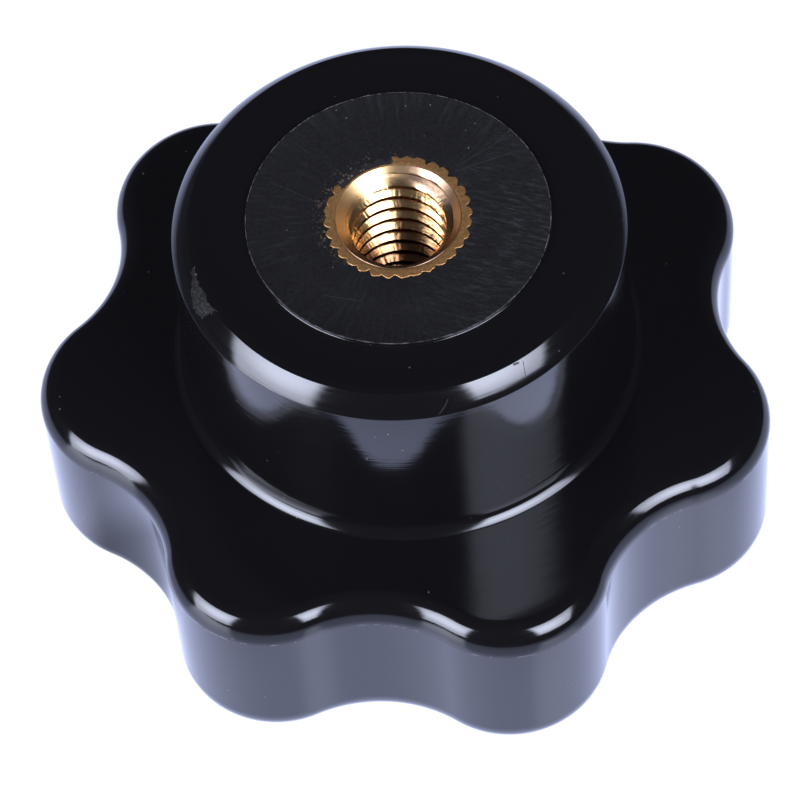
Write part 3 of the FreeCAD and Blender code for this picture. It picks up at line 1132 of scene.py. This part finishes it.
# Each soft box: the bearing from the front, the height and the roll in degrees, the width and the height in
# metres, and where across and up it the light is hottest
BOXES = (
    ("left_box", -62.6, 26.8, 11.5, 0.69, 0.87, 0.62, 0.56),
    ("right_box", 45.4, 38.7, -11.4, 0.585, 0.82, 0.285, 0.5),
)
BOX_DISTANCE = 0.9
# How bright the boxes are in the gloss, and how much they light the rest
GLARE = 16.0
WASH = 4.3


def place_lamps(scene, stage):
    """Two soft boxes in front of the knob, left and right."""
    for name, bearing, elevation, roll, width, height, *hottest in BOXES:
        bearing, elevation = math.radians(bearing), math.radians(elevation)
        level = math.cos(elevation)
        out = Vector((math.sin(bearing) * level, -math.cos(bearing) * level, math.sin(elevation)))
        facing = (-out).to_track_quat("-Z", "Y").to_matrix() @ Matrix.Rotation(math.radians(roll), 3, "Z")
        for use, radiance, tint in (("glare", GLARE, stage.box_light), ("wash", WASH, (1, 1, 1, 1))):
            data = bpy.data.lights.new(f"{name}_{use}", "AREA")
            data.shape = "RECTANGLE"
            data.size = width
            data.size_y = height
            data.color = [value / tint[1] for value in tint[:3]]
            data.energy = radiance * math.pi * width * height
            lamp = bpy.data.objects.new(data.name, data)
            lamp.matrix_world = Matrix.Translation(out * BOX_DISTANCE) @ facing.to_4x4()
            lamp.visible_glossy = use == "glare"
            lamp.visible_diffuse = use == "wash"
            scene.collection.objects.link(lamp)
            if use == "glare":
                shade_box(data, hottest)


def shade_box(data, hottest):
    """Makes a soft box hot on one side, dimmer away from it and soft at its edges."""
    data.use_nodes = True
    tree = data.node_tree
    tree.nodes.clear()
    place = add(tree, "NewGeometry").outputs["Parametric"]
    offset = add(tree, "VectorMath", {0: place, 1: (*hottest, 0)}, operation="SUBTRACT")
    sized = (data.size, data.size_y, 0)
    across = add(tree, "VectorMath", {0: offset, 1: sized}, operation="MULTIPLY")
    away = add(tree, "VectorMath", {0: across}, operation="LENGTH").outputs["Value"]
    centred = add(tree, "VectorMath", {0: place, 1: (0.5, 0.5, 0)}, operation="SUBTRACT")
    outwards = add(tree, "VectorMath", {0: centred}, operation="ABSOLUTE")
    sides = add(tree, "SeparateXYZ", {0: outwards})
    fades = [
        add(tree, "MapRange", {
            "Value": value, "From Min": start, "From Max": end, "To Min": least, "To Max": most,
        }, interpolation_type="SMOOTHSTEP")
        for value, start, end, least, most in (
            (away, 0.05, 0.45, 1.0, 0.5),
            (sides.outputs["X"], 0.5, 0.38, 0.0, 1.0),
            (sides.outputs["Y"], 0.5, 0.44, 0.0, 1.0),
        )
    ]
    light = add(tree, "Emission", {"Color": (1, 1, 1, 1), "Strength": product(tree, *fades)})
    add(tree, "OutputLight", {"Surface": light})


def light_world(scene):
    """White behind the knob, and a dim room for what the lamps don't reach."""
    world = bpy.data.worlds.new("studio")
    world.use_nodes = True
    tree = world.node_tree
    tree.nodes.clear()
    rays = add(tree, "LightPath")
    room = (0.045, 0.047, 0.058, 1)
    tint = laid_over(tree, room, (rays.outputs["Is Camera Ray"], (1, 1, 1, 1)))
    light = add(tree, "Background", {"Color": tint, "Strength": 1.0})
    add(tree, "OutputWorld", {"Surface": light})
    scene.world = world


class STARKNOB_PT_panel(bpy.types.Panel):
    """Lists the knob's sizes, its finish and the steps that build it"""

    bl_idname = "STARKNOB_PT_panel"
    bl_label = "Star knob"
    bl_space_type = "VIEW_3D"
    bl_region_type = "UI"
    bl_category = "Star knob"

    def draw(self, context):
        for group in (
            context.scene.star_knob_sizes, context.scene.star_knob_finish, context.scene.star_knob_stage,
        ):
            for name in group.__annotations__:
                self.layout.prop(group, name)
        for step in STEPS:
            self.layout.operator(step.bl_idname)


STEPS = (STARKNOB_OT_moulding, STARKNOB_OT_insert, STARKNOB_OT_stage)
GROUPS = (
    ("star_knob_sizes", StarKnobSizes),
    ("star_knob_finish", StarKnobFinish),
    ("star_knob_stage", StarKnobStage),
)


def register():
    for name, group in GROUPS:
        bpy.utils.register_class(group)
        setattr(bpy.types.Scene, name, PointerProperty(type=group))
    for step in STEPS:
        bpy.utils.register_class(step)
    bpy.utils.register_class(STARKNOB_PT_panel)


def unregister():
    bpy.utils.unregister_class(STARKNOB_PT_panel)
    for step in reversed(STEPS):
        bpy.utils.unregister_class(step)
    for name, group in reversed(GROUPS):
        delattr(bpy.types.Scene, name)
        bpy.utils.unregister_class(group)


def main():
    """Builds the pieces and the stage."""
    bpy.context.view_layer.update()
    register()
    bpy.ops.starknob.moulding()
    bpy.ops.starknob.insert()
    bpy.ops.starknob.stage()


if __name__ == "__main__":
    main()
